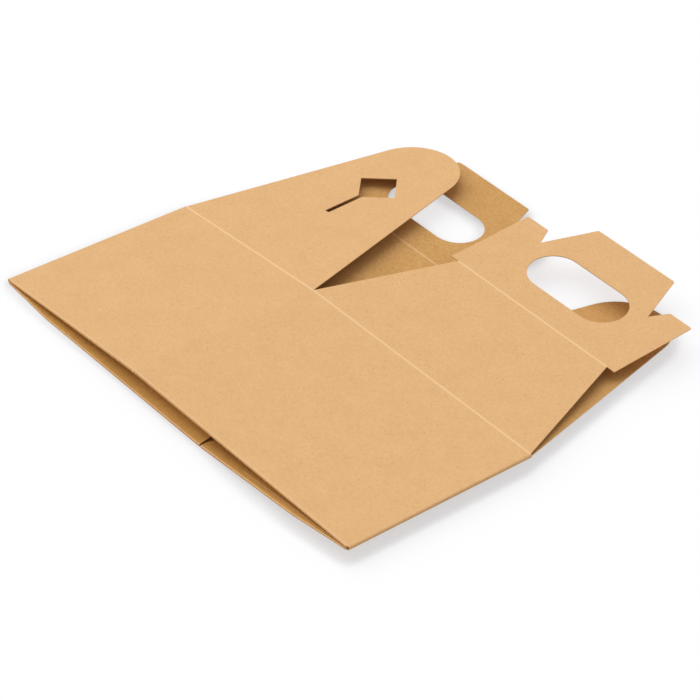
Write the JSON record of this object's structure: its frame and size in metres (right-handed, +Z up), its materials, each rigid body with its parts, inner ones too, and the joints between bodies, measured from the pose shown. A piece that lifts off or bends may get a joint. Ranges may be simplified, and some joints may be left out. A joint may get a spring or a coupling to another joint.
{
  "type": "gable box",
  "caption": "Flat-packed kraft board gable box: a glued tube with a folded auto-lock bottom, hand-hole handle panels on sloped roofs and side flaps with arrow lock slots.",
  "frame": {"origin": "on the surface that the box lies on, under the middle of its own box", "axes": "+X across the flattened tube from its left side fold, +Y up the height of the box from the bottom fold to the handles, +Z up from the surface"},
  "size_m": [0.332, 0.3284, 0.0207],
  "materials": {
    "kraft_board": "uncoated natural kraft board, matt, fine fibre specks"
  },
  "bodies": {
    "body": {"body": "kraft_board"},
    "side_flap": {"side_flap": "kraft_board"},
    "roof_panel": {"roof_panel": "kraft_board"},
    "handle_panel": {"handle_panel": "kraft_board"}
  },
  "joints": [
    {"name": "side_flap_swing", "type": "hinge", "parent": "body", "child": "side_flap", "pos_m": [-0.10009, -0.02011, 0.00739], "axis": [0.9974, 0, 0.0715], "range_deg": [0, 120]},
    {"name": "roof_swing", "type": "hinge", "parent": "body", "child": "roof_panel", "pos_m": [0.06483, -0.02011, 0.01205], "axis": [1, 0, 0], "range_deg": [0, 120]},
    {"name": "handle_swing", "type": "hinge", "parent": "roof_panel", "child": "handle_panel", "pos_m": [0.06483, 0.07285, 0.01497], "axis": [1, 0, 0], "range_deg": [0, 90]}
  ]
}
